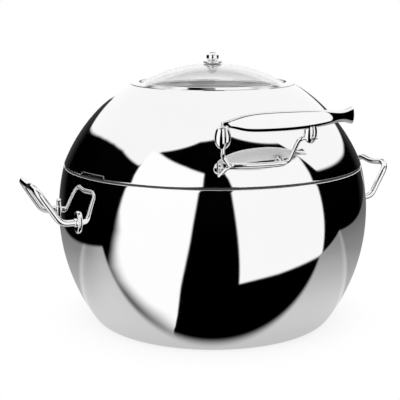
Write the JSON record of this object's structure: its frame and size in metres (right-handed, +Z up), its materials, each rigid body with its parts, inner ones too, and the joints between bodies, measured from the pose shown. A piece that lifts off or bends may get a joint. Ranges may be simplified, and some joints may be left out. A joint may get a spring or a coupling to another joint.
{
  "type": "soup kettle",
  "caption": "Ball-shaped polished steel soup kettle for a buffet, with side handles, a lift-out pot and a hinged lid that carries a glass window, a knob and a cast handle.",
  "frame": {"origin": "middle of the flat foot, on the surface that the kettle stands on", "axes": "+Z up along the axis of the round body; the lid handle is at the front, -Y, and the hinge at the back, +Y; the side handles lie along X"},
  "size_m": [0.4988, 0.4265, 0.3485],
  "materials": {
    "polished_steel": "mirror-polished stainless steel",
    "satin_steel": "satin stainless steel",
    "base_alloy": "ground steel disc",
    "silicone": "matt black silicone",
    "window_glass": "clear tempered glass"
  },
  "bodies": {
    "kettle": {"body_shell": "polished_steel", "base_disc": "base_alloy", "rim_seal": "silicone", "soup_pot": "satin_steel", "left_handle": "polished_steel", "right_handle": "polished_steel", "left_collars": "polished_steel", "right_collars": "polished_steel", "handle_screws": "satin_steel", "handle_washers": "satin_steel", "hinge_bracket": "polished_steel", "hinge_pin": "satin_steel", "hinge_caps": "polished_steel", "bracket_screws": "satin_steel", "bracket_washers": "satin_steel"},
    "lid": {"lid_shell": "polished_steel", "window_ring": "polished_steel", "window_gasket": "silicone", "window_glass": "window_glass", "knob": "polished_steel", "knob_flange": "polished_steel", "knob_seal": "silicone", "inner_seal": "silicone", "knob_washer": "satin_steel", "knob_stud": "satin_steel", "knob_nut": "satin_steel", "lid_handle": "polished_steel", "bail": "polished_steel", "hinge_arm": "polished_steel", "arm_screws": "satin_steel", "arm_washers": "satin_steel"}
  },
  "joints": [
    {"name": "lid_hinge", "type": "hinge", "parent": "kettle", "child": "lid", "pos_m": [0, 0.207, 0.2065], "axis": [-1, 0, 0], "range_deg": [0, 90]}
  ]
}
